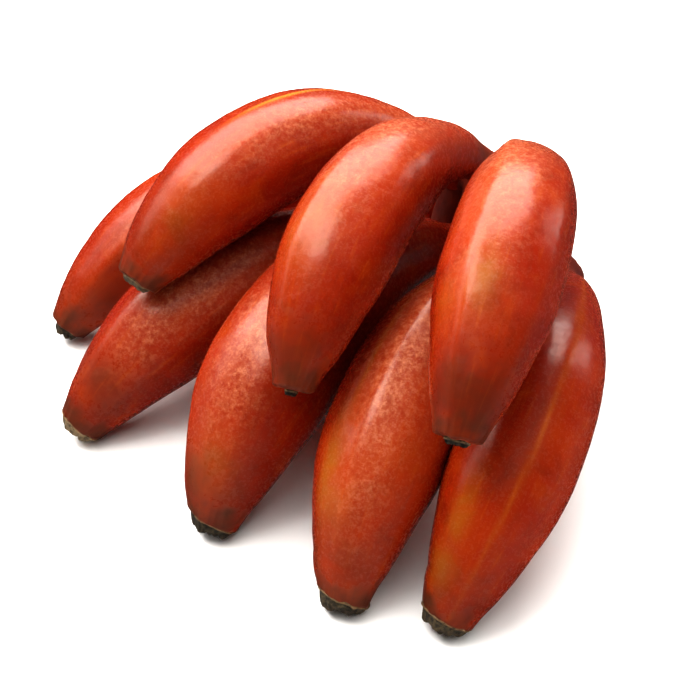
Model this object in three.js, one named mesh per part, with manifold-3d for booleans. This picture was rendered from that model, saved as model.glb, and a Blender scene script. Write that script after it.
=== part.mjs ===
// A hand of eight red bananas, lying palm down: five fingers in a lower row, three in an
// upper row that lies in their valleys, all grown from one crown, each with a dried
// blossom end on its tip.
//
// Millimetres, +Z up. The hand is laid out round the line of the stalk it was cut from:
// an angle of 0 points along +X, 90 along +Y. The finished hand is then moved so that
// the middle of its footprint is the origin and it rests on z = 0.

import * as THREE from "three";
import { mergeVertices } from "three/addons/utils/BufferGeometryUtils.js";
import Module from "manifold-3d";

const wasm = await Module();
wasm.setup();

// ---------------------------------------------------------------- driving dimensions

const GAP = 0.3; // clearance left between pieces that grow from one another
const FACETS = 5; // a banana's section is a soft pentagon
const AROUND = 4 * FACETS; // points round a section, so that each ridge has its own point
const RINGS = 25; // sections along a finger
const TIP_CROWDING = 1.4; // over 1, sections stand closer together towards the tip
const FACET_DEPTH = 0.34; // 0 is a round section, 1 a sharp pentagon
const FACET_SWELL = 1.025; // keeps the faceted section as thick as the round one
const BEND_EVENNESS = 0.3; // 0 bends evenly, above 0 the middle bends more than the ends
const RISE_SEARCH = 8; // degrees either way in which a finger is tipped until it rests
const RISE_HALVINGS = 30; // how often that range is halved

// The crown: a curved pad with round ends. Its hollow side was cut from the stalk.
const CROWN = {
  firstEnd: 170, // the angles that its two ends are at
  lastEnd: 250,
  inner: 12, // radius of its hollow side, from the stalk line
  outer: 31, // radius of its round side
  top: 35,
  bottom: 2,
  rounding: 4, // of its edges
};
const PEDICEL_START = 21; // how far from the stalk line each pedicel starts, inside the pad
const PEDICEL_DROP = 14; // how far below the finger's root it starts
const PEDICEL_SWELL = 0.25; // how much thicker it is at its start, as a fraction
const PEDICEL_RINGS = 5; // sections along a pedicel

// Radius along a finger as a fraction of its largest radius.
const GIRTH = [
  [0, 0.375],
  [0.08, 0.382],
  [0.15, 0.37],
  [0.24, 0.525],
  [0.36, 0.699],
  [0.5, 0.937],
  [0.63, 1.012],
  [0.76, 0.985],
  [0.85, 0.812],
  [0.91, 0.635],
  [0.95, 0.545],
  [0.98, 0.455],
  [1, 0.4],
];

// The dried blossom end: a short dark stub, radius as a fraction of the finger's tip.
const STUB_LENGTH = 4;
const STUB_GIRTH = [0.82, 0.92, 0.78, 0.45];

// angle, distance and height place the root of the finger, from the stalk line and floor.
// heading is the way it points in plan and rise how steeply it starts upwards. It then
// bends down through bend degrees, in a plane that leans over sideways by lean degrees.
// sway bends it sideways in an S. twist turns its ridges. All angles are in degrees.
const LOWER_ROW = [
  {
    angle: 168.9, distance: 32.8, height: 8.3, heading: 188.7, rise: 43.2,
    lean: 15.5, bend: 90.9, sway: 3.9, length: 170.4, radius: 16.9, twist: 63,
  },
  {
    angle: 195.9, distance: 37.7, height: 7.6, heading: 208.2, rise: 41.1,
    lean: 6.1, bend: 84.2, sway: 0.1, length: 169.5, radius: 18.9, twist: 40,
  },
  {
    angle: 216.4, distance: 36.8, height: 19.4, heading: 228.9, rise: 45.1,
    lean: 2.8, bend: 101.4, sway: 3.9, length: 167.4, radius: 21.6, twist: 11,
  },
  {
    angle: 245.3, distance: 39.9, height: 18.7, heading: 247, rise: 45.7,
    lean: -2.8, bend: 102.1, sway: 4, length: 166.6, radius: 20.1, twist: 45,
  },
  {
    angle: 267.2, distance: 36.3, height: 15.5, heading: 258.1, rise: 46.6,
    lean: -7.2, bend: 101.5, sway: -8.5, length: 168.9, radius: 19.8, twist: 25,
  },
];
const UPPER_ROW = [
  {
    angle: 192.6, distance: 31.4, height: 36.4, heading: 189.5, rise: 53.7,
    lean: 29.6, bend: 96.4, sway: -1.6, length: 154.9, radius: 17.9, twist: 67,
  },
  {
    angle: 213.4, distance: 28.2, height: 46.6, heading: 225.7, rise: 57.7,
    lean: 17.2, bend: 102, sway: 2.5, length: 159.7, radius: 17.8, twist: 57,
  },
  {
    angle: 234.3, distance: 32.6, height: 37.6, heading: 258.3, rise: 70.4,
    lean: 1.4, bend: 111.6, sway: -7.5, length: 171.4, radius: 19, twist: 58,
  },
];

const SKIN = new THREE.MeshStandardMaterial({ color: 0xa5301a, roughness: 0.38, metalness: 0 });
const CROWN_SKIN = new THREE.MeshStandardMaterial({ color: 0x8a5a34, roughness: 0.7, metalness: 0 });
const DRIED = new THREE.MeshStandardMaterial({ color: 0x33291d, roughness: 0.9, metalness: 0 });

// ---------------------------------------------------------------- curves and sections

const radians = THREE.MathUtils.degToRad;

// The direction at an angle in plan, raised by so many degrees.
function pointing(angle, raised) {
  const flat = Math.cos(radians(raised));
  return new THREE.Vector3(
    flat * Math.cos(radians(angle)),
    flat * Math.sin(radians(angle)),
    Math.sin(radians(raised)),
  );
}

// A smooth function through the points of a table of [position, value].
function smoothTable(table) {
  const positions = table.map((row) => row[0]);
  const values = table.map((row) => row[1]);
  const curve = new THREE.CubicInterpolant(positions, values, 1);
  return (t) => curve.evaluate(t)[0];
}

const girthAt = smoothTable(GIRTH);

// The finger's own axes at t, 0 at the root and 1 at the tip: along the finger, inner
// towards the hollow side of its bend, and side across both.
function fingerAxes(finger, t) {
  const start = pointing(finger.heading, finger.rise);
  const down = pointing(finger.heading, finger.rise - 90);
  const across = new THREE.Vector3().crossVectors(start, down);
  const lean = radians(finger.lean);
  const towards = down.multiplyScalar(Math.cos(lean)).addScaledVector(across, Math.sin(lean));
  const side = new THREE.Vector3().crossVectors(start, towards);

  const evenness = (BEND_EVENNESS * Math.sin(2 * Math.PI * t)) / (2 * Math.PI);
  const turned = radians(finger.bend) * (t - evenness);
  const swayed = radians(finger.sway) * Math.sin(Math.PI * (t - 0.5));
  const along = new THREE.Vector3()
    .addScaledVector(start, Math.cos(turned))
    .addScaledVector(towards, Math.sin(turned));
  const inner = new THREE.Vector3()
    .addScaledVector(start, -Math.sin(turned))
    .addScaledVector(towards, Math.cos(turned));
  along.multiplyScalar(Math.cos(swayed)).addScaledVector(side, Math.sin(swayed));
  side.crossVectors(along, inner);
  return { along, inner, side };
}

function fingerRoot(finger) {
  const root = pointing(finger.angle, 0).multiplyScalar(finger.distance);
  return root.setZ(finger.height);
}

// How far out the soft pentagon's outline is, at so many degrees from a ridge.
function pentagon(fromRidge) {
  const facet = 360 / FACETS;
  const offset = Math.abs(THREE.MathUtils.euclideanModulo(fromRidge + facet / 2, facet) - facet / 2);
  const sharp = Math.cos(radians(facet / 2)) / Math.cos(radians(facet / 2 - offset));
  return FACET_SWELL * (1 + FACET_DEPTH * (sharp - 1));
}

// One ring of points in the plane of inner and side.
function section(centre, axes, radius, twist) {
  return Array.from({ length: AROUND }, (_, i) => {
    const turn = (360 * i) / AROUND;
    const reach = radius * pentagon(turn);
    return centre
      .clone()
      .addScaledVector(axes.inner, reach * Math.cos(radians(turn + twist)))
      .addScaledVector(axes.side, reach * Math.sin(radians(turn + twist)));
  });
}

function middleOf(ring) {
  const sum = ring.reduce((total, point) => total.add(point), new THREE.Vector3());
  return sum.divideScalar(ring.length);
}

// A closed solid through a row of rings, with a flat fan over each end.
function loft(rings) {
  const around = rings[0].length;
  const last = rings.length - 1;
  const points = [...rings.flat(), middleOf(rings[0]), middleOf(rings[last])];
  const rootMiddle = rings.length * around;
  const tipMiddle = rootMiddle + 1;
  const at = (ring, i) => ring * around + (i % around);
  const faces = [];
  for (let i = 0; i < around; i += 1) {
    faces.push(rootMiddle, at(0, i + 1), at(0, i));
    for (let ring = 0; ring < last; ring += 1) {
      faces.push(at(ring, i), at(ring, i + 1), at(ring + 1, i + 1));
      faces.push(at(ring, i), at(ring + 1, i + 1), at(ring + 1, i));
    }
    faces.push(tipMiddle, at(last, i), at(last, i + 1));
  }
  return new THREE.BufferGeometry().setFromPoints(points).setIndex(faces);
}

// ---------------------------------------------------------------- fingers and their tips

// The finger's sections from root to tip, and the middle and axes at its tip. With a
// margin, the finger is that much thicker all round and starts that much further back.
function fingerShape(finger, margin = 0) {
  const centre = fingerRoot(finger);
  const rings = [];
  const steps = 8; // small steps between two sections, to follow the bend
  let t = 0;
  for (let ring = 0; ring < RINGS; ring += 1) {
    const next = 1 - (1 - ring / (RINGS - 1)) ** TIP_CROWDING;
    const step = (next - t) / steps;
    for (let i = 0; i < steps; i += 1) {
      const { along } = fingerAxes(finger, t + step / 2);
      centre.addScaledVector(along, step * finger.length);
      t += step;
    }
    const radius = finger.radius * girthAt(next) + margin;
    rings.push(section(centre, fingerAxes(finger, next), radius, finger.twist));
  }
  const backwards = fingerAxes(finger, 0).along.multiplyScalar(-margin);
  rings[0].forEach((point) => point.add(backwards));
  return { rings, tip: centre, tipAxes: fingerAxes(finger, 1) };
}

// The sections of the dried stub that carries on from the finger's tip.
function blossomEndRings(finger, shape) {
  const tipRadius = finger.radius * girthAt(1);
  return STUB_GIRTH.map((fraction, i) => {
    const reach = GAP + (STUB_LENGTH * i) / (STUB_GIRTH.length - 1);
    const centre = shape.tip.clone().addScaledVector(shape.tipAxes.along, reach);
    return section(centre, shape.tipAxes, tipRadius * fraction, finger.twist);
  });
}

function lowestPoint(finger) {
  const shape = fingerShape(finger);
  const points = [...shape.rings.flat(), ...blossomEndRings(finger, shape).flat()];
  return Math.min(...points.map((point) => point.z));
}

// Tips a finger up or down about its root until its tip just touches the surface.
function rested(finger) {
  let low = finger.rise - RISE_SEARCH;
  let high = finger.rise + RISE_SEARCH;
  for (let i = 0; i < RISE_HALVINGS; i += 1) {
    const rise = (low + high) / 2;
    if (lowestPoint({ ...finger, rise }) < 0) low = rise;
    else high = rise;
  }
  return { ...finger, rise: high };
}

// ---------------------------------------------------------------- crown

function solidOf(geometry) {
  const bare = new THREE.BufferGeometry();
  bare.setAttribute("position", geometry.getAttribute("position"));
  bare.setIndex(geometry.getIndex());
  const merged = mergeVertices(bare, 1e-4);
  return new wasm.Manifold(
    new wasm.Mesh({
      numProp: 3,
      vertProperties: merged.getAttribute("position").array,
      triVerts: new Uint32Array(merged.getIndex().array),
    }),
  );
}

function geometryOf(solid) {
  const mesh = solid.getMesh();
  const geometry = new THREE.BufferGeometry();
  geometry.setAttribute("position", new THREE.BufferAttribute(mesh.vertProperties, 3));
  return geometry.setIndex(new THREE.BufferAttribute(mesh.triVerts, 1));
}

// The pad itself, in plan a thick arc with rounded edges all round.
function crownPad() {
  const { inner, outer, top, bottom, rounding } = CROWN;
  const first = radians(CROWN.firstEnd);
  const last = radians(CROWN.lastEnd);
  const middle = (inner + outer) / 2;
  const endRadius = (outer - inner) / 2 - rounding;
  const endX = (turn) => middle * Math.cos(turn);
  const endY = (turn) => middle * Math.sin(turn);
  const outline = new THREE.Shape();
  outline.absarc(0, 0, outer - rounding, first, last, false);
  outline.absarc(endX(last), endY(last), endRadius, last, last + Math.PI, false);
  outline.absarc(0, 0, inner + rounding, last, first, true);
  outline.absarc(endX(first), endY(first), endRadius, first + Math.PI, first + 2 * Math.PI, false);
  const pad = new THREE.ExtrudeGeometry(outline, {
    depth: top - bottom - 2 * rounding,
    bevelThickness: rounding,
    bevelSize: rounding,
    bevelSegments: 3,
    curveSegments: 12,
  });
  return pad.translate(0, 0, bottom + rounding);
}

// The pedicel that carries one finger: from inside the pad out past the finger's root,
// in the same section as the finger starts with.
function pedicel(finger) {
  const end = fingerAxes(finger, 0);
  const root = fingerRoot(finger).addScaledVector(end.along, GAP);
  const start = pointing(finger.angle, 0).multiplyScalar(PEDICEL_START);
  start.setZ(Math.max(finger.height - PEDICEL_DROP, CROWN.bottom + 2 * CROWN.rounding));
  const bendPoint = root.clone().addScaledVector(end.along, -root.distanceTo(start) / 2);
  const curve = new THREE.QuadraticBezierCurve3(start, bendPoint, root);
  const radius = finger.radius * girthAt(0);
  const rings = Array.from({ length: PEDICEL_RINGS }, (_, i) => {
    const t = i / (PEDICEL_RINGS - 1);
    const along = curve.getTangent(t);
    const side = new THREE.Vector3().crossVectors(along, end.inner).normalize();
    const inner = new THREE.Vector3().crossVectors(side, along);
    const thickness = radius * (1 + PEDICEL_SWELL * (1 - t));
    return section(curve.getPoint(t), { inner, side }, thickness, finger.twist);
  });
  return loft(rings);
}

// What is left of a solid above z = 0.
function aboveFloor(solid) {
  const upwards = [0, 0, 1];
  return solid.trimByPlane(upwards, 0);
}

// The pad and its pedicels, cut back so that no finger touches them.
function crown(fingers) {
  const solids = [crownPad(), ...fingers.map(pedicel)].map(solidOf);
  const fingerRooms = fingers.map((finger) => solidOf(loft(fingerShape(finger, GAP).rings)));
  const whole = aboveFloor(wasm.Manifold.union(solids));
  return geometryOf(whole.subtract(wasm.Manifold.union(fingerRooms)));
}

// ---------------------------------------------------------------- the hand

function named(name, geometry, material) {
  geometry.computeVertexNormals();
  const mesh = new THREE.Mesh(geometry, material);
  mesh.name = name;
  return mesh;
}

function buildHand() {
  const lower = LOWER_ROW.map((finger, i) => ({ ...rested(finger), row: "lower", place: i + 1 }));
  const upper = UPPER_ROW.map((finger, i) => ({ ...finger, row: "upper", place: i + 1 }));
  const fingers = [...lower, ...upper];
  const hand = new THREE.Group();
  hand.add(named("crown", crown(fingers), CROWN_SKIN));
  for (const finger of fingers) {
    const shape = fingerShape(finger);
    const { row, place } = finger;
    hand.add(named(`${row}_finger_${place}`, loft(shape.rings), SKIN));
    hand.add(named(`${row}_blossom_end_${place}`, loft(blossomEndRings(finger, shape)), DRIED));
  }
  return hand;
}

const hand = buildHand();
const footprint = new THREE.Box3().setFromObject(hand);
const middle = footprint.getCenter(new THREE.Vector3());
hand.position.set(-middle.x, -middle.y, -footprint.min.z);

const part = new THREE.Group();
part.add(hand);

export default part;
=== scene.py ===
"""A hand of eight red bananas lying palm down on a white surface.

Every finger, its dried blossom end and the crown are fine, closed meshes that are grown
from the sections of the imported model, so they sit exactly where its pieces are.
Metres, +Z up.
"""

import math

import bmesh
import bpy
import numpy as np
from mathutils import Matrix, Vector, noise


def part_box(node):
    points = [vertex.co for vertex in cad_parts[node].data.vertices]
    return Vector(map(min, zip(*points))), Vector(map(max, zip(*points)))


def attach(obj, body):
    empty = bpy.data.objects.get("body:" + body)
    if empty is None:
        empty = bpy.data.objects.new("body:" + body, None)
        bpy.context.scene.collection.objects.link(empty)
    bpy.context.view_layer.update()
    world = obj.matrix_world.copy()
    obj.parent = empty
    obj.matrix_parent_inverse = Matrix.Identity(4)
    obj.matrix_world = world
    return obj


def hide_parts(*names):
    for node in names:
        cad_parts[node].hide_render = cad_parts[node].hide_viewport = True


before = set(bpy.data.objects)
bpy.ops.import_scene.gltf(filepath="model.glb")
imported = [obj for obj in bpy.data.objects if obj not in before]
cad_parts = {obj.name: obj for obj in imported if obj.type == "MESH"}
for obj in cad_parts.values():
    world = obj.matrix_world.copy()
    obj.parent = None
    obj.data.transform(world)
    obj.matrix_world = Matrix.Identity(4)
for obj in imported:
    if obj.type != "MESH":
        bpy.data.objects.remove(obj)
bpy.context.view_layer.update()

MM = 0.001
FINGER_SEED = 13.7  # keeps the fingers' random surfaces apart
STUB_SEED = 5.3  # and those of their dried ends
STALK = (85.4 * MM, 83.1 * MM)  # the line of the stalk that the hand was cut from

# ------------------------------------------------------------------ view

TARGET = (10.3 * MM, 33.0 * MM, 0.0)
VIEW_ELEVATION = math.radians(44.6)
VIEW_DISTANCE = 770 * MM
LENS = 113.6
SENSOR_WIDTH = 36

# ------------------------------------------------------------------ stage

FLOOR_HALF = 4.0
DOME_RADIUS = 1.25
DOME_SINK = 10 * MM  # how far its foot is under the floor
WORLD_STRENGTH = 0.05

# Each softbox is: name, place, point it aims at, width and height, watts, and whether it
# shows in reflections.
SOFTBOXES = [
    ("back", (-0.34, 1.08, 1.28), (0, 0, 0.03), (2.6, 1.3), 64, True),
    ("overhead", (-0.10, -0.05, 1.50), (0, 0, 0.03), (1.7, 1.7), 22, False),
    ("top_left", (-0.50, -0.02, 1.40), (0, 0, 0.03), (0.7, 0.7), 11, True),
    ("right_fill", (1.2, -0.5, 1.2), (0, 0, 0.03), (0.8, 0.8), 5, False),
    ("left", (-1.30, 0.45, 0.75), (0, 0, 0.05), (0.8, 0.8), 3.5, True),
    ("right_rim", (1.20, 0.65, 0.45), (0, 0, 0.05), (0.25, 0.8), 2.0, True),
]
FLOOR_WASH = ("floor_wash", (-0.1, 0.6, 1.9), (0, 0, 0), (2.4, 2.4), 34, True)

# ------------------------------------------------------------------ fine shape

AROUND = 20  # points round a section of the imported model
FACETS = 5
FINE_AROUND = 100
FINE_ALONG = 200
ROOT_TUCK = 5 * MM  # how far each finger runs on into the crown
STUB_AROUND = 72
LOWEST = 0.15 * MM  # nothing goes lower than this above the floor
CROWN_VOXEL = 1.0 * MM
RIDGE_SPREAD = 11  # degrees round the finger
RIDGE_HEIGHT = 0.85 * MM
LUMP_HEIGHT = 0.50 * MM  # of the broad unevenness of a finger
RIPPLE_HEIGHT = 0.12 * MM  # and of the fine one
TIP_CREASES = 0.35  # mm that the skin is creased at the tip
NECK_CREASES = 0.18  # and at the neck
RING_CROWDING = 0.06  # how much closer the rings stand at both ends than in the middle
FULL_AT = 0.91  # where along a finger its tip is filled out most
FULL_SPREAD = 0.045
RIM_WAVE = 0.55 * MM  # how far the skin's edge at the tip wanders along the finger
RIM_BIAS = 0.7  # how much more of the rim's extra width is on its left side

# How each finger differs from its packed section. rounding: how far its facets are drawn
# towards round. ridges: degrees round from its top, and strength, of the edges that stand
# out. full and rim: mm by which the tip, and the skin's edge there, are wider. dome: mm by
# which the skin closes in beyond its edge. stub: length and width of the dried end, as a
# share of the usual one, and how weathered it is. tilt: mm by which the skin's edge is
# drawn back on its left side.
SHAPES = {
    "lower_finger_1": {"rounding": 0.5, "ridges": [(32, 1.0)], "full": 1.0, "rim": 0.3,
                       "dome": 0.0, "stub": (0.9, 0.72, 0.2), "tilt": 0.2},
    "lower_finger_2": {"rounding": 0.6, "ridges": [(-9, 0.3)], "full": 1.0, "rim": 0.6,
                       "dome": 0.0, "stub": (0.85, 0.98, 0.9), "tilt": 0.6},
    "lower_finger_3": {"rounding": 0.6, "ridges": [(22, 0.3), (-49, 0.3)], "full": 0.9, "rim": 0.3,
                       "dome": 0.0, "stub": (1.35, 1.0, 0.1), "tilt": 1.8},
    "lower_finger_4": {"rounding": 0.5, "ridges": [(-8, 0.7)], "full": 1.0, "rim": 0.9,
                       "dome": 0.0, "stub": (1.4, 1.0, 0.25), "tilt": 2.0},
    "lower_finger_5": {"rounding": 0.9, "ridges": [(25, 0.7)], "full": 1.1, "rim": 1.0,
                       "dome": 0.0, "stub": (1.2, 1.0, 0.35), "tilt": 0.9},
    "upper_finger_1": {"rounding": 0.7, "ridges": [(-48, 0.3)], "full": 1.1, "rim": 0.0,
                       "dome": 0.3, "stub": (0.4, 0.75, 0.5), "tilt": 0.3},
    "upper_finger_2": {"rounding": 0.6, "ridges": [(-28, 0.4)], "full": 1.2, "rim": -0.4,
                       "dome": 1.8, "stub": (0.3, 0.32, 0.0), "tilt": 0.0},
    "upper_finger_3": {"rounding": 0.65, "ridges": [(-20, 1.1), (50, 0.3)], "full": 1.2, "rim": 0.0,
                       "dome": 1.0, "stub": (0.3, 0.55, 0.0), "tilt": 0.0},
}

# Marks on the skin. Each is: kind, how far along the finger, degrees round from its top
# (positive to the right of someone the tip points at), half length and half width in mm,
# slant in degrees, strength.
# The bloom marks lie on the lit bands and are partly painted highlight. The thin pale mark on
# lower_finger_5 is a painted highlight along its ridge. The dark marks by the roots, on
# lower_finger_1's lower side and on upper_finger_2's neck are painted shade; the other dark marks
# by the tips are brown smudges.
MARKS = {
    "lower_finger_1": [
        ("bloom_and_painted_highlight", 0.62, 20, 30, 8, 0, 0.7),
        # painted shade on this finger's lower side
        ("dark", 0.80, 60, 22, 6, 0, 0.7),
    ],
    "lower_finger_2": [
        ("bloom_and_painted_highlight", 0.68, 25, 30, 9, 0, 0.9),
        ("dark", 0.90, 20, 7, 9, 0, 0.5),
    ],
    "lower_finger_3": [
        ("bloom_and_painted_highlight", 0.66, -5, 34, 11, 0, 0.9),
        # painted shade by the root, where the necks crowd together
        ("dark", 0.03, 0, 12, 30, 0, 0.9),
        ("yellow", 0.90, 0, 10, 7, 0, 0.4),
        ("dark", 0.93, -30, 7, 9, 0, 0.6),
    ],
    "lower_finger_4": [
        ("bloom_and_painted_highlight", 0.60, 2, 42, 10, 0, 1.0),
        # painted shade by the root, where the necks crowd together
        ("dark", 0.03, 0, 12, 30, 0, 0.9),
        ("yellow", 0.80, -35, 15, 5, 0, 0.9),
        ("yellow", 0.55, -30, 36, 1.2, 0, 0.6),
    ],
    "lower_finger_5": [
        ("yellow", 0.82, -15, 12, 4, 0, 0.7),
        ("yellow", 0.91, -20, 9, 5, 0, 0.8),
        # painted highlight along this finger's ridge
        ("pale_scratch_and_painted_ridge_highlight", 0.60, 25, 60, 0.6, 0, 0.25),
    ],
    "upper_finger_1": [
        ("bloom_and_painted_highlight", 0.52, 20, 45, 8, 0, 0.7),
        ("pale_scratch_and_painted_ridge_highlight", 0.55, -18, 14, 0.8, 0, 1.0),
        ("yellow", 0.83, 20, 12, 8, 0, 0.35),
    ],
    "upper_finger_2": [
        ("bloom_and_painted_highlight", 0.50, -5, 34, 11, 0, 0.9),
        ("yellow", 0.74, -20, 14, 8, 0, 0.5),
        # painted shadow on the neck
        ("dark", 0.17, 45, 9, 5, 0, 0.7),
        ("dark", 0.93, 0, 8, 9, 0, 0.4),
    ],
    "upper_finger_3": [
        ("bloom_and_painted_highlight", 0.48, -12, 36, 13, 0, 1.0),
        ("yellow", 0.76, -8, 8, 5, 0, 0.7),
        ("yellow", 0.80, -45, 7, 5, 0, 0.4),
        ("dark", 0.92, 0, 12, 12, 0, 0.5),
    ],
}
MARK_KINDS = ("yellow", "bloom_and_painted_highlight", "dark", "pale_scratch_and_painted_ridge_highlight")

# ------------------------------------------------------------------ small tools


def srgb(red, green, blue):
    """A colour picked as 0 to 255 on a screen, as the linear colour that shaders take."""
    screen = [channel / 255 for channel in (red, green, blue)]
    linear = [c / 12.92 if c <= 0.04045 else ((c + 0.055) / 1.055) ** 2.4 for c in screen]
    return (*linear, 1.0)


def unit(vectors):
    return vectors / np.maximum(np.linalg.norm(vectors, axis=-1, keepdims=True), 1e-12)


def noise_at(points, scale, seed=0.0, octaves=1):
    """Smooth noise between about -1 and 1 at each point, at so many lumps a metre."""
    flat = points.reshape(-1, 3) * scale + seed
    if octaves == 1:
        values = [noise.noise(Vector(p)) for p in flat]
    else:
        values = [noise.fractal(Vector(p), 0.8, 2.1, octaves) for p in flat]
    return np.array(values).reshape(points.shape[:-1])


def curve_through(rows, places):
    """Values at fractional row numbers, on a smooth curve through the rows."""
    padded = np.concatenate([[2 * rows[0] - rows[1]], rows, [2 * rows[-1] - rows[-2]]])
    first = np.minimum(np.floor(places).astype(int), len(rows) - 2)
    f = (places - first).reshape(-1, *([1] * (rows.ndim - 1)))
    a, b, c, d = (padded[first + k] for k in range(4))
    return 0.5 * (2 * b + (c - a) * f + (2 * a - 5 * b + 4 * c - d) * f**2
                  + (3 * b - a - 3 * c + d) * f**3)


def grid_piece(name, rings, ends, fields=None):
    """A closed mesh through rings of points, with a fan to a middle point at each end."""
    count, around = rings.shape[:2]
    points = np.concatenate([rings.reshape(-1, 3), np.array(ends)])
    first_end = count * around
    faces = []
    for i in range(around):
        j = (i + 1) % around
        faces.append((first_end, j, i))
        for ring in range(count - 1):
            low = ring * around
            high = low + around
            faces.append((low + i, low + j, high + j, high + i))
        last = (count - 1) * around
        faces.append((first_end + 1, last + i, last + j))
    return mesh_piece(name, points, faces, fields)


def mesh_piece(name, points, faces, fields=None):
    mesh = bpy.data.meshes.new(name)
    mesh.from_pydata(points.tolist(), [], faces)
    for field, values in (fields or {}).items():
        layer = mesh.attributes.new(field, "FLOAT", "POINT")
        flat = np.asarray(values, np.float32).ravel()
        layer.data.foreach_set("value", np.resize(flat, len(points)))
    mesh.polygons.foreach_set("use_smooth", [True] * len(mesh.polygons))
    piece = bpy.data.objects.new(name, mesh)
    bpy.context.scene.collection.objects.link(piece)
    return piece


# ------------------------------------------------------------------ sections of the model


def welded(mesh):
    """The mesh's points with doubles merged, and each point's neighbours."""
    corners = np.array([vertex.co for vertex in mesh.vertices])
    _, first, weld = np.unique(np.round(corners, 6), axis=0, return_index=True,
                               return_inverse=True)
    weld = weld.ravel()
    near = [set() for _ in first]
    for edge in mesh.edges:
        a, b = (int(weld[i]) for i in edge.vertices)
        if a != b:
            near[a].add(b)
            near[b].add(a)
    return corners[first], near


def sections(node, start):
    """A lofted node's sections as rings x points x 3, from the end nearest to start."""
    points, near = welded(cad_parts[node].data)
    caps = sorted(range(len(points)), key=lambda i: -len(near[i]))[:2]
    root = min(caps, key=lambda i: np.linalg.norm(points[i] - start))
    levels = [{root}]
    seen = {root}
    while True:
        level = set().union(*(near[i] for i in levels[-1])) - seen
        if len(level) < AROUND:
            break
        levels.append(level)
        seen |= level
    ring = [min(levels[1])]
    while len(ring) < AROUND:
        ring.append(min(n for n in near[ring[-1]] if n in levels[1] and n not in ring))
    rings = [ring]
    for level in levels[2:]:
        before = rings[-1]
        shared = [(near[before[i - 1]] & near[before[i]] & level).pop() for i in range(AROUND)]
        choices = [shared, shared[1:] + shared[:1]]
        rings.append(min(choices, key=lambda c: np.abs(points[c] - points[before]).sum()))
    found = points[np.array(rings)]
    middle = found.mean(1)
    turned = np.cross(found[0, 0] - middle[0], found[0, 5] - middle[0])
    if turned @ (middle[1] - middle[0]) < 0:
        found = found[:, ::-1]
    reach = np.linalg.norm(found - middle[:, None], axis=2)[len(found) // 2]
    per_facet = AROUND // FACETS
    ridge = max(range(per_facet), key=lambda k: reach[k::per_facet].sum())
    return np.roll(found, -ridge, axis=1)


# ------------------------------------------------------------------ fingers


def fine_finger(rings):
    """A finer grid over the sections: points, middles, and how far along each ring is."""
    middles = rings.mean(1)
    lengths = np.linalg.norm(np.diff(middles, axis=0), axis=1)
    reached = np.concatenate([[0], np.cumsum(lengths)]) / lengths.sum()
    even = np.linspace(0, 1, FINE_ALONG)
    along = even - RING_CROWDING * np.sin(2 * np.pi * even) / (2 * np.pi)
    places = np.interp(along, reached, np.arange(len(rings)))
    grid = curve_through(rings, places)
    wrapped = np.concatenate([grid[:, -2:], grid, grid[:, :3]], axis=1)
    turns = np.arange(FINE_AROUND) * AROUND / FINE_AROUND + 2
    grid = curve_through(wrapped.transpose(1, 0, 2), turns).transpose(1, 0, 2)
    return grid, grid.mean(1), along, lengths.sum()


def directions(grid, middles):
    """Along each ring's middle, outwards at each point, and degrees round from the top."""
    along = unit(np.gradient(middles, axis=0))
    out = unit(grid - middles[:, None])
    up = np.array([0.0, 0.0, 1.0])
    side = unit(np.cross(up, along))
    top = np.cross(along, side)
    turn = np.degrees(np.arctan2((out * side[:, None]).sum(2), (out * top[:, None]).sum(2)))
    return along, out, turn


def mark_field(kind, name, grid, along, turn, length, radius):
    """How strongly the marks of one kind cover each point, with uneven edges."""
    field = np.zeros(grid.shape[:2])
    warp = 1 + 0.35 * noise_at(grid, 160, 7.0) + 0.2 * noise_at(grid, 420, 3.0)
    for what, place, angle, half_length, half_width, slant, strength in MARKS[name]:
        if what != kind:
            continue
        forward = (along[:, None] - place) * length / MM
        sideways = np.radians((turn - angle + 180) % 360 - 180) * radius[:, None] / MM
        tilt = math.radians(slant)
        ahead = forward * math.cos(tilt) + sideways * math.sin(tilt)
        across = sideways * math.cos(tilt) - forward * math.sin(tilt)
        apart = (ahead / half_length) ** 2 + (across / half_width) ** 2
        field = np.maximum(field, strength * np.exp(-apart * (warp if half_width > 2 else 1)))
    return np.clip(field, 0, 1)


def rim_wave(out, side, name, seed):
    """How far the skin's edge is moved along the finger, for directions out from its middle."""
    wander = noise_at(out, 1.6, seed + 90) + 0.5 * noise_at(out, 4.2, seed + 95)
    return RIM_WAVE * wander - SHAPES[name]["tilt"] * MM * (out @ side)


def left_side(forward):
    """Level direction to the left of someone whom the finger's tip points at."""
    return unit(np.cross(forward, np.array([0.0, 0.0, 1.0])))


def rim_extra(out, side, name):
    """How much wider the skin's edge at the tip is, for directions out from its middle."""
    return SHAPES[name]["rim"] * MM * (1 + RIM_BIAS * (out @ side))


def rounded(grid, middles, amount):
    """The grid with its sections drawn towards round."""
    reach = np.linalg.norm(grid - middles[:, None], axis=2)
    rounder = reach + (reach.mean(1, keepdims=True) - reach) * amount
    return middles[:, None] + unit(grid - middles[:, None]) * rounder[..., None]


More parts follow.
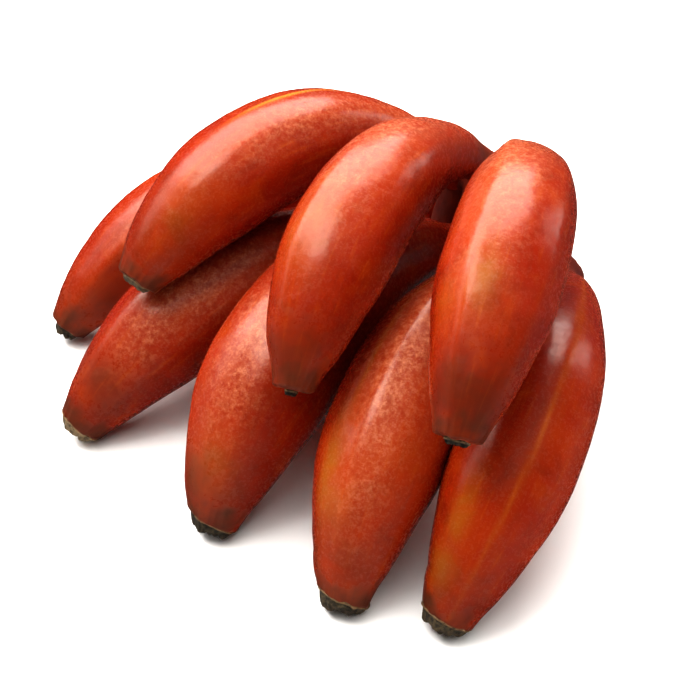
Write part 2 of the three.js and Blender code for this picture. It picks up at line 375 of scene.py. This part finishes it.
def build_finger(name, seed):
    look = SHAPES[name]
    rings = sections(name, crown_middle)
    grid, middles, along, length = fine_finger(rings)
    grid = rounded(grid, middles, look["rounding"])
    forward, out, turn = directions(grid, middles)
    radius = np.linalg.norm(grid - middles[:, None], axis=2).mean(1)

    # The ridges that stand out are sharpened, and fade out towards both ends.
    ridge = np.zeros(grid.shape[:2])
    for angle, strength in look["ridges"]:
        apart = (turn - angle + 180) % 360 - 180
        ridge += strength * np.exp(-(apart / RIDGE_SPREAD) ** 2)
    body = np.clip((along - 0.12) / 0.2, 0, 1) * np.clip((0.97 - along) / 0.15, 0, 1)
    uneven = 0.75 + 0.5 * noise_at(grid, 30, seed)
    ridge *= body[:, None] * np.clip(uneven, 0.2, 1.3)

    swell = RIDGE_HEIGHT * ridge
    swell += LUMP_HEIGHT * noise_at(grid, 30, seed + 11)
    swell += RIPPLE_HEIGHT * noise_at(grid, 110, seed + 23, octaves=3)
    full = np.exp(-((along - FULL_AT) / FULL_SPREAD) ** 2)[:, None]
    swell += look["full"] * MM * full
    tip = np.clip((along - 0.93) / 0.07, 0, 1)[:, None]
    swell += rim_extra(out, left_side(forward[-1]), name) * tip * (2 - tip)
    neck = np.clip((0.2 - along) / 0.2, 0, 1)[:, None]
    creases = noise_at(out + middles[:, None] * 8, 6, seed + 31)
    swell += (TIP_CREASES * tip + NECK_CREASES * neck) * MM * creases
    grid = grid + out * swell[..., None]
    wave = rim_wave(out[-1], left_side(forward[-1]), name, seed)
    near_rim = np.clip((along - 0.955) / 0.045, 0, 1) ** 1.5
    grid = grid + near_rim[:, None, None] * wave[None, :, None] * forward[:, None]

    # Besides real marks, these fields carry painted highlight and painted shade.
    fields = {kind: mark_field(kind, name, grid, along, turn, length, radius)
              for kind in MARK_KINDS}
    ragged = noise_at(grid, 130, seed + 41, octaves=3)
    scorch = np.clip((along[:, None] - 0.955 + 0.04 * ragged) / 0.045, 0, 1)
    fields["dark"] = np.maximum(fields["dark"], 0.9 * scorch)
    fields["ridge"] = ridge
    fields["metres_along"] = (along * length)[:, None] * np.ones_like(ridge)
    fields["metres_round"] = np.radians(turn) * radius.max()
    fields["seed"] = seed * np.ones_like(ridge)
    fields["near_root"] = np.clip(1 - along / 0.08, 0, 1)[:, None] * np.ones_like(ridge)
    fields["near_tip"] = np.clip((along - 0.80) / 0.2, 0, 1)[:, None] * np.ones_like(ridge)

    root_back = forward[0] * ROOT_TUCK
    start = [middles[0] - root_back + (grid[0] - middles[0]) * 0.6,
             middles[0] - root_back / 2 + (grid[0] - middles[0]) * 0.9]
    ahead = forward[-1] * MM
    rim = grid[-1]
    rim_middle = rim.mean(0)
    end = [rim_middle + (0.22 + reach * look["dome"]) * ahead + (rim - rim_middle) * width
           for reach, width in ((0.35, 0.97), (0.65, 0.87), (0.85, 0.74), (0.8, 0.6), (0.2, 0.4))]
    whole = np.concatenate([start, grid, end])
    whole[..., 2] = np.maximum(whole[..., 2], LOWEST)
    for kind, values in fields.items():
        tail = [values[-1:]] * len(end)
        fields[kind] = np.concatenate([values[:1], values[:1], values, *tail])
    ends = (middles[0] - root_back, whole[-1].mean(0))
    piece = grid_piece(name + "_skin", whole, ends, fields)
    return piece, rings


# ------------------------------------------------------------------ blossom ends

# The stub's profile: millimetres past the skin's edge, radius as a share of the tip's, how
# ragged it is there, and how much of it is the pale lip.
STUB_PROFILE = [
    (-1.8, 0.45, 0.0, 0.0), (-1.3, 0.85, 0.0, 0.0), (-0.4, 0.97, 0.0, 0.2),
    (0.25, 1.005, 0.1, 1.0), (0.6, 0.965, 0.2, 1.0), (0.8, 0.91, 0.2, 0.1),
    (1.5, 0.87, 0.3, 0.0), (2.3, 0.82, 0.5, 0.0), (3.2, 0.74, 0.8, 0.1),
    (3.7, 0.64, 1.0, 0.2), (3.6, 0.52, 0.9, 0.0), (3.0, 0.40, 0.6, 0.0),
    (2.7, 0.24, 0.5, 0.0), (2.8, 0.10, 0.4, 0.0),
]
RINGS_PER_STEP = 4


def build_blossom_end(name, finger, rings, seed):
    long, wide, weathered = SHAPES[finger]["stub"]
    middle = rings[-1].mean(0)
    before = rings[-2].mean(0)
    forward = unit(middle - before)
    radius = np.linalg.norm(rings[-1] - middle, axis=1).mean() * wide
    across = unit(rings[-1][0] - middle)
    side = np.cross(forward, across)

    places = np.linspace(0, len(STUB_PROFILE) - 1, RINGS_PER_STEP * len(STUB_PROFILE))
    profile = curve_through(np.array(STUB_PROFILE), places)
    turn = np.linspace(0, 2 * np.pi, STUB_AROUND, endpoint=False)
    circle = np.cos(turn)[:, None] * across + np.sin(turn)[:, None] * side
    wave = rim_wave(circle, left_side(forward), finger, FINGER_SEED * finger_names.index(finger))
    wave = wave * np.clip((wide - 0.5) / 0.4, 0, 1)

    rough = profile[:, 2:3]
    lobes = noise_at(circle, 2.2, seed + 50) + 0.5 * noise_at(circle, 6.0, seed + 60)
    ahead = np.where(profile[:, 0] > 0.8, 0.8 + (profile[:, 0] - 0.8) * long, profile[:, 0])
    reach = ahead[:, None] + rough * 1.3 * long * lobes[None]
    reach = reach * MM + wave[None] * np.clip(1.3 - ahead[:, None] / 4, 0, 1)
    dome = SHAPES[finger]["dome"] * MM
    rim_radius = radius + rim_extra(circle, left_side(forward), finger) * wide
    widths = rim_radius * profile[:, 1:2] * (1 + 0.12 * rough * noise_at(circle, 4.0, seed + 70))
    grid = middle + widths[..., None] * circle[None] + (reach + dome)[..., None] * forward
    fibres = noise_at(grid, 900, seed, octaves=3)
    strands = noise_at(circle, 14.0, seed + 80)[None] * np.ones_like(fibres)
    grid = grid + circle[None] * ((0.18 * fibres + 0.22 * strands) * MM * (0.3 + rough))[..., None]
    grid[..., 2] = np.maximum(grid[..., 2], LOWEST)
    ends = (middle - 1.8 * MM * forward + dome * forward, grid[-1].mean(0) + 0.1 * MM * forward)
    fields = {"lip": np.clip(profile[:, 3:4], 0, 1) * np.ones((1, STUB_AROUND)),
              "weathered": weathered * np.ones(grid.shape[:2]),
              "far": np.clip(profile[:, 0:1] / 3, 0, 1) * np.ones((1, STUB_AROUND))}
    return grid_piece(name + "_stub", grid, ends, fields)


# ------------------------------------------------------------------ crown

WEB_WIDTH = 0.95  # of the necks that a web joins
WEB_RINGS = 9  # of a collar, from its start
WEBS = [
    ("lower_finger_1", "upper_finger_1"), ("lower_finger_2", "upper_finger_1"),
    ("lower_finger_1", "lower_finger_2"), ("lower_finger_2", "lower_finger_3"),
    ("upper_finger_1", "upper_finger_2"), ("lower_finger_3", "upper_finger_2"),
    ("upper_finger_2", "upper_finger_3"), ("lower_finger_3", "lower_finger_4"),
    ("lower_finger_4", "upper_finger_3"), ("lower_finger_4", "lower_finger_5"),
]


def sleeve(rings):
    """A short collar round a finger's root, from inside the crown to just under the skin."""
    middles = rings.mean(1)
    forward = unit(middles[1] - middles[0])
    places = np.linspace(0, 1.6, 9)
    body = curve_through(rings, places)
    body_middles = body.mean(1)
    out = unit(body - body_middles[:, None])
    extra = np.interp(places, [0, 0.5, 1.6], [0.3, 0.1, -0.9]) * MM
    body = body + out * extra[:, None, None]
    back = body[:1] - 7 * MM * forward
    return np.concatenate([back, body])


def web(collars):
    """The flesh that joins the roots of neighbouring fingers: the hull of their collars."""
    hull = bmesh.new()
    for collar in collars:
        middles = collar.mean(1)[:, None]
        for point in (middles + (collar - middles) * WEB_WIDTH)[:WEB_RINGS].reshape(-1, 3):
            hull.verts.new(point)
    made = bmesh.ops.convex_hull(hull, input=hull.verts)
    bmesh.ops.delete(hull, geom=made["geom_interior"], context="VERTS")
    hull.verts.index_update()
    points = np.array([vertex.co for vertex in hull.verts])
    faces = [tuple(vertex.index for vertex in face.verts) for face in hull.faces]
    hull.free()
    return points, faces


def build_crown(all_rings):
    """The crown and its pedicels in one skin, smoothed and given its fibres."""
    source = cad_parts["crown"].data
    points = [np.array([vertex.co for vertex in source.vertices])]
    faces = [tuple(polygon.vertices) for polygon in source.polygons]
    collars = [sleeve(rings) for rings in all_rings]
    for pair in WEBS:
        offset = sum(len(p) for p in points)
        web_points, web_faces = web([collars[finger_names.index(name)] for name in pair])
        points.append(web_points)
        faces.extend(tuple(offset + corner for corner in face) for face in web_faces)
    for collar in collars:
        offset = sum(len(p) for p in points)
        count = len(collar)
        ends = np.array([collar[0].mean(0), collar[-1].mean(0)])
        points.append(np.concatenate([collar.reshape(-1, 3), ends]))
        first_end = offset + count * AROUND
        for i in range(AROUND):
            j = (i + 1) % AROUND
            faces.append((first_end, offset + j, offset + i))
            for ring in range(count - 1):
                low = offset + ring * AROUND
                high = low + AROUND
                faces.append((low + i, low + j, high + j, high + i))
            last = offset + (count - 1) * AROUND
            faces.append((first_end + 1, last + i, last + j))
    rough = mesh_piece("crown_source", np.concatenate(points), faces)
    fuse = rough.modifiers.new("fuse", "REMESH")
    fuse.mode = "VOXEL"
    fuse.voxel_size = CROWN_VOXEL
    relax = rough.modifiers.new("relax", "SMOOTH")
    relax.factor = 0.6
    relax.iterations = 9
    bpy.context.view_layer.update()
    evaluated = rough.evaluated_get(bpy.context.evaluated_depsgraph_get())
    mesh = bpy.data.meshes.new_from_object(evaluated)
    bpy.data.objects.remove(rough)

    co = np.array([vertex.co for vertex in mesh.vertices])
    normals = np.array([vertex.normal for vertex in mesh.vertices])
    to_stalk = np.array([STALK[0], STALK[1], 0]) - co
    to_stalk[:, 2] = 0
    away = np.linalg.norm(to_stalk, axis=1)
    facing = (normals * unit(to_stalk)).sum(1)
    cut = np.clip((facing - 0.45) / 0.3, 0, 1) * np.clip((20 * MM - away) / (3 * MM), 0, 1)
    cut *= np.clip((38 * MM - co[:, 2]) / (4 * MM), 0, 1)
    stretched = co * np.array([1.0, 1.0, 0.25])
    fibres = noise_at(stretched, 700, 5.0, octaves=3)
    lumps = noise_at(co, 120, 9.0, octaves=3)
    swell = (0.25 * cut * fibres + 0.35 * lumps) * MM
    co = co + normals * swell[:, None]
    co[:, 2] = np.maximum(co[:, 2], LOWEST)
    roots = np.array([rings[0].mean(0) for rings in all_rings])
    from_root = np.linalg.norm(co[:, None] - roots[None], axis=2).min(1)
    skin = np.clip(2.2 - from_root / (14 * MM), 0, 1) * (1 - cut)
    faces = [tuple(polygon.vertices) for polygon in mesh.polygons]
    return mesh_piece("crown_pad", co, faces, {"cut": cut, "skin": skin})


# ------------------------------------------------------------------ materials


class Shader:
    """Adds nodes to one material and joins them up."""

    def __init__(self, name):
        self.material = bpy.data.materials.new(name)
        self.material.use_nodes = True
        self.tree = self.material.node_tree
        self.surface = self.tree.nodes["Principled BSDF"]
        self.coords = self.tree.nodes.new("ShaderNodeTexCoord").outputs["Object"]

    def put(self, value, socket):
        if isinstance(value, bpy.types.NodeSocket):
            self.tree.links.new(value, socket)
        else:
            socket.default_value = value

    def stretched(self, stretch):
        mapping = self.tree.nodes.new("ShaderNodeMapping")
        self.put(self.coords, mapping.inputs["Vector"])
        self.put(stretch, mapping.inputs["Scale"])
        return mapping.outputs["Vector"]

    def noise(self, scale, detail=4.0, roughness=0.55, distortion=0.0, coords=None):
        texture = self.tree.nodes.new("ShaderNodeTexNoise")
        self.put(coords or self.coords, texture.inputs["Vector"])
        self.put(scale, texture.inputs["Scale"])
        self.put(detail, texture.inputs["Detail"])
        self.put(roughness, texture.inputs["Roughness"])
        self.put(distortion, texture.inputs["Distortion"])
        return texture.outputs["Fac"]

    def cells(self, scale):
        texture = self.tree.nodes.new("ShaderNodeTexVoronoi")
        self.put(self.coords, texture.inputs["Vector"])
        self.put(scale, texture.inputs["Scale"])
        return texture.outputs["Distance"]

    def lengthwise(self, along, around):
        """Coordinates for a pattern with so many cells a metre along and round a finger."""
        joined = self.tree.nodes.new("ShaderNodeCombineXYZ")
        self.put(self.math("MULTIPLY", self.field("metres_along"), along), joined.inputs["X"])
        self.put(self.math("MULTIPLY", self.field("metres_round"), around), joined.inputs["Y"])
        self.put(self.field("seed"), joined.inputs["Z"])
        return joined.outputs["Vector"]

    def field(self, name):
        attribute = self.tree.nodes.new("ShaderNodeAttribute")
        attribute.attribute_name = name
        return attribute.outputs["Fac"]

    def between(self, value, low, high, to_low=0.0, to_high=1.0):
        """value from low to high, moved to to_low to to_high and held there beyond."""
        remap = self.tree.nodes.new("ShaderNodeMapRange")
        self.put(value, remap.inputs["Value"])
        for name, number in (("From Min", low), ("From Max", high),
                             ("To Min", to_low), ("To Max", to_high)):
            self.put(number, remap.inputs[name])
        return remap.outputs["Result"]

    def math(self, operation, a, b):
        node = self.tree.nodes.new("ShaderNodeMath")
        node.operation = operation
        self.put(a, node.inputs[0])
        self.put(b, node.inputs[1])
        return node.outputs["Value"]

    def ramp(self, value, stops):
        node = self.tree.nodes.new("ShaderNodeValToRGB")
        self.put(value, node.inputs["Fac"])
        elements = node.color_ramp.elements
        while len(elements) < len(stops):
            elements.new(0.5)
        for element, (place, colour) in zip(elements, stops):
            element.position = place
            element.color = colour
        return node.outputs["Color"]

    def mix(self, amount, a, b, blend="MIX"):
        node = self.tree.nodes.new("ShaderNodeMix")
        node.data_type = "RGBA"
        node.blend_type = blend
        self.put(amount, node.inputs["Factor"])
        self.put(a, node.inputs[6])
        self.put(b, node.inputs[7])
        return node.outputs[2]

    def bump(self, height, strength, distance, normal=None):
        node = self.tree.nodes.new("ShaderNodeBump")
        self.put(height, node.inputs["Height"])
        self.put(strength, node.inputs["Strength"])
        self.put(distance, node.inputs["Distance"])
        if normal is not None:
            self.put(normal, node.inputs["Normal"])
        return node.outputs["Normal"]

    def finish(self, **inputs):
        for name, value in inputs.items():
            self.put(value, self.surface.inputs[name.replace("_", " ")])
        return self.material


def red_skin():
    """Waxy red banana peel: red to orange mottling, fine pores, bloom and bruises, plus painted
    highlight and shade.
    """
    s = Shader("red_banana_skin")
    broad = s.noise(20, detail=3)
    mottle = s.noise(85, detail=6, roughness=0.62, distortion=0.4)
    grain = s.noise(520, detail=5, roughness=0.7)
    pores = s.cells(620)
    colour = s.ramp(broad, [(0.30, srgb(120, 18, 3)), (0.50, srgb(140, 31, 4)),
                            (0.70, srgb(157, 48, 7))])
    colour = s.mix(s.between(mottle, 0.50, 0.74, 0, 0.5), colour, srgb(90, 12, 3))
    colour = s.mix(s.between(mottle, 0.46, 0.28, 0, 0.45), colour, srgb(162, 62, 10))
    streaks = s.noise(1.0, detail=4, roughness=0.65, coords=s.lengthwise(55, 520))
    colour = s.mix(s.between(streaks, 0.54, 0.72, 0, 0.3), colour, srgb(100, 18, 3))
    colour = s.mix(s.between(streaks, 0.44, 0.28, 0, 0.3), colour, srgb(186, 88, 24))
    # Painted highlight: the ridges are painted a paler orange, as where light catches them.
    ridges = s.math("MULTIPLY", s.field("ridge"), s.between(mottle, 0.35, 0.65))
    colour = s.mix(s.math("MULTIPLY", ridges, 0.45), colour, srgb(196, 84, 30))
    freckles = s.math("MULTIPLY", s.between(pores, 0.22, 0.08, 0, 0.3),
                      s.between(mottle, 0.4, 0.6))
    colour = s.mix(freckles, colour, srgb(84, 14, 4))

    speckle = s.between(s.noise(1300, detail=3, roughness=0.6), 0.42, 0.58, 0.6, 1.0)
    # Peach bloom, partly real and partly painted highlight laid on the lit bands.
    bloom_and_painted_highlight = s.math("MULTIPLY", s.field("bloom_and_painted_highlight"), s.between(grain, 0.40, 0.62, 0.25, 1.0))
    bloom_and_painted_highlight = s.math("MULTIPLY", bloom_and_painted_highlight, speckle)
    bloom_and_painted_highlight = s.math("MULTIPLY", bloom_and_painted_highlight, s.between(mottle, 0.36, 0.60, 0.6, 1.0))
    colour = s.mix(s.math("MULTIPLY", bloom_and_painted_highlight, 0.8), colour, srgb(208, 128, 88))
    yellow = s.math("MULTIPLY", s.field("yellow"), s.between(mottle, 0.36, 0.62, 0.35, 1.0))
    colour = s.mix(s.math("MULTIPLY", yellow, 0.75), colour, srgb(160, 96, 16))
    # Pale streaks: a real scratch, and a painted highlight along a ridge.
    colour = s.mix(s.math("MULTIPLY", s.field("pale_scratch_and_painted_ridge_highlight"), 0.85), colour, srgb(224, 140, 52))

    tip = s.math("MULTIPLY", s.field("near_tip"), s.between(mottle, 0.3, 0.6, 0.5, 1.0))
    colour = s.mix(s.math("MULTIPLY", tip, 0.6), colour, srgb(98, 32, 6))
    root = s.math("MULTIPLY", s.field("near_root"), s.between(mottle, 0.3, 0.6, 0.4, 1.0))
    colour = s.mix(s.math("MULTIPLY", root, 0.6), colour, srgb(116, 40, 12))
    # Dark brown: real smudges by the tips, and painted shade by the roots, on a lower side and on a
    # neck.
    dark = s.math("MULTIPLY", s.field("dark"), s.between(mottle, 0.30, 0.58, 0.45, 1.0))
    colour = s.mix(s.math("MULTIPLY", dark, 0.8), colour, srgb(66, 32, 8))

    lumps = s.noise(300, detail=4, roughness=0.6)
    normal = s.bump(lumps, 0.25, 0.0004)
    normal = s.bump(grain, 0.12, 0.0002, normal)
    scuffs = s.between(s.noise(1000, detail=4, roughness=0.7, distortion=0.6), 0.54, 0.64, 0, 0.18)
    roughness = s.math("ADD", s.between(grain, 0.3, 0.7, 0.20, 0.30), scuffs)
    roughness = s.math("ADD", roughness, s.math("MULTIPLY", dark, 0.25))
    return s.finish(Base_Color=colour, Roughness=roughness, Normal=normal,
                    Specular_IOR_Level=0.5, Specular_Tint=(1.0, 0.76, 0.64, 1.0))


def dried_blossom():
    """Dry flower remnant: brown-black fibres, darkest at the far end, with a tan rim."""
    s = Shader("dried_blossom")
    fibres = s.noise(700, detail=6, roughness=0.7)
    patches = s.noise(190, detail=4)
    colour = s.ramp(fibres, [(0.32, srgb(14, 11, 7)), (0.50, srgb(40, 33, 19)),
                             (0.68, srgb(92, 76, 46))])
    colour = s.mix(s.between(patches, 0.45, 0.65, 0, 0.5), colour, srgb(44, 40, 22))
    shade = s.math("MULTIPLY", s.field("far"), s.between(fibres, 0.30, 0.70, 1.0, 0.55))
    colour = s.mix(s.math("MULTIPLY", shade, 0.85), colour, srgb(9, 8, 5))
    worn = s.math("MULTIPLY", s.field("weathered"), s.between(fibres, 0.36, 0.60))
    colour = s.mix(worn, colour, srgb(128, 106, 74))
    rim = s.math("MULTIPLY", s.field("lip"), s.between(fibres, 0.34, 0.58, 0.2, 1.0))
    colour = s.mix(s.math("MULTIPLY", rim, 0.8), colour, srgb(138, 104, 66))
    normal = s.bump(fibres, 0.7, 0.0008)
    roughness = s.between(patches, 0.3, 0.7, 0.7, 0.92)
    return s.finish(Base_Color=colour, Roughness=roughness, Normal=normal)


def crown_skin():
    """Dull rind that is red-brown by the fingers, with a dry tan cut face."""
    s = Shader("crown_rind")
    mottle = s.noise(110, detail=6, roughness=0.62)
    fibres = s.noise(520, detail=6, roughness=0.7, coords=s.stretched((1.0, 1.0, 0.2)))
    rind = s.ramp(mottle, [(0.32, srgb(30, 14, 7)), (0.50, srgb(56, 26, 12)),
                           (0.70, srgb(84, 52, 26))])
    red = s.ramp(mottle, [(0.35, srgb(78, 16, 4)), (0.65, srgb(112, 32, 8))])
    colour = s.mix(s.field("skin"), rind, red)
    face = s.ramp(fibres, [(0.34, srgb(64, 42, 24)), (0.52, srgb(116, 86, 54)),
                           (0.68, srgb(150, 120, 80))])
    edge = s.between(mottle, 0.35, 0.65, 0.75, 1.25)
    colour = s.mix(s.math("MULTIPLY", s.field("cut"), edge), colour, face)
    normal = s.bump(mottle, 0.35, 0.0010)
    normal = s.bump(fibres, 0.40, 0.0006, normal)
    roughness = s.between(s.field("cut"), 0, 1, 0.6, 0.88)
    return s.finish(Base_Color=colour, Roughness=roughness, Normal=normal,
                    Specular_IOR_Level=0.25)


def floor_white():
    s = Shader("seamless_white")
    tone = s.ramp(s.noise(3, detail=2), [(0.3, (0.96, 0.93, 0.89, 1)),
                                         (0.7, (0.98, 0.95, 0.91, 1))])
    return s.finish(Base_Color=tone, Roughness=0.7)


# ------------------------------------------------------------------ camera, light, floor


def add_camera():
    camera = bpy.data.objects.new("camera", bpy.data.cameras.new("camera"))
    bpy.context.scene.collection.objects.link(camera)
    back = Vector((0, -math.cos(VIEW_ELEVATION), math.sin(VIEW_ELEVATION)))
    camera.location = Vector(TARGET) + back * VIEW_DISTANCE
    camera.rotation_euler = (math.pi / 2 - VIEW_ELEVATION, 0, 0)
    camera.data.lens = LENS
    camera.data.sensor_width = SENSOR_WIDTH
    camera.data.clip_start = 0.02
    bpy.context.scene.camera = camera


def add_softbox(name, position, aim, size, power, in_reflections):
    light = bpy.data.lights.new(name, "AREA")
    light.shape = "RECTANGLE"
    light.size, light.size_y = size
    light.energy = power
    softbox = bpy.data.objects.new(name, light)
    bpy.context.scene.collection.objects.link(softbox)
    softbox.location = position
    direction = Vector(aim) - Vector(position)
    softbox.rotation_euler = direction.to_track_quat("-Z", "Y").to_euler()
    softbox.visible_glossy = in_reflections
    return softbox


def add_floor_wash(floor):
    """Light for the floor alone, so that it is white without paling the fruit."""
    wash = add_softbox(*FLOOR_WASH)
    wash.light_linking.receiver_collection = bpy.data.collections.new("lit_by_wash")
    wash.light_linking.receiver_collection.objects.link(floor)


def add_world():
    world = bpy.data.worlds.new("studio")
    world.use_nodes = True
    background = world.node_tree.nodes["Background"]
    background.inputs["Color"].default_value = (1, 1, 1, 1)
    background.inputs["Strength"].default_value = WORLD_STRENGTH
    bpy.context.scene.world = world


def add_backdrop():
    """A white dome round the view, whose foot is under the floor. It casts no light."""
    turn = np.linspace(0, 2 * np.pi, 64, endpoint=False)
    rise = np.linspace(0, 0.49 * np.pi, 24)[:, None]
    rings = DOME_RADIUS * np.stack([np.cos(rise) * np.cos(turn), np.cos(rise) * np.sin(turn),
                                    np.sin(rise) * np.ones_like(turn)], axis=2)
    rings[..., 2] -= DOME_SINK
    dome = grid_piece("backdrop", rings, (rings[0].mean(0), rings[-1].mean(0)))
    s = Shader("backdrop_white")
    dome.data.materials.append(s.finish(Base_Color=(0, 0, 0, 1), Emission_Color=(1, 1, 1, 1),
                                        Emission_Strength=1.0, Specular_IOR_Level=0.0))
    dome.visible_diffuse = False
    dome.visible_glossy = False
    dome.visible_transmission = False
    dome.visible_shadow = False


def add_floor():
    half = FLOOR_HALF
    corners = np.array([(-half, -half, 0), (half, -half, 0), (half, half, 0), (-half, half, 0)])
    floor = mesh_piece("floor", corners, [(0, 1, 2, 3)])
    floor.data.materials.append(floor_white())
    floor.visible_glossy = False
    return floor


# ------------------------------------------------------------------ put together

low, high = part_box("crown")
crown_middle = np.array((low + high) / 2)
finger_names = sorted(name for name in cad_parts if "_finger_" in name)
skin_material = red_skin()
stub_material = dried_blossom()
crown_material = crown_skin()


def place(piece, node, slot, material):
    piece.data.materials.append(material)
    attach(piece, "root")
    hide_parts(node)


all_rings = []
for number, finger in enumerate(finger_names):
    skin, finger_rings = build_finger(finger, FINGER_SEED * number)
    all_rings.append(finger_rings)
    place(skin, finger, "red_skin", skin_material)
    end = finger.replace("_finger_", "_blossom_end_")
    stub = build_blossom_end(end, finger, finger_rings, STUB_SEED * number)
    place(stub, end, "dried_blossom", stub_material)
place(build_crown(all_rings), "crown", "crown_skin", crown_material)

floor = add_floor()
add_backdrop()
add_world()
for softbox in SOFTBOXES:
    add_softbox(*softbox)
add_floor_wash(floor)
add_camera()
bpy.context.scene.view_settings.view_transform = "Standard"
bpy.context.scene.view_settings.look = "Medium High Contrast"
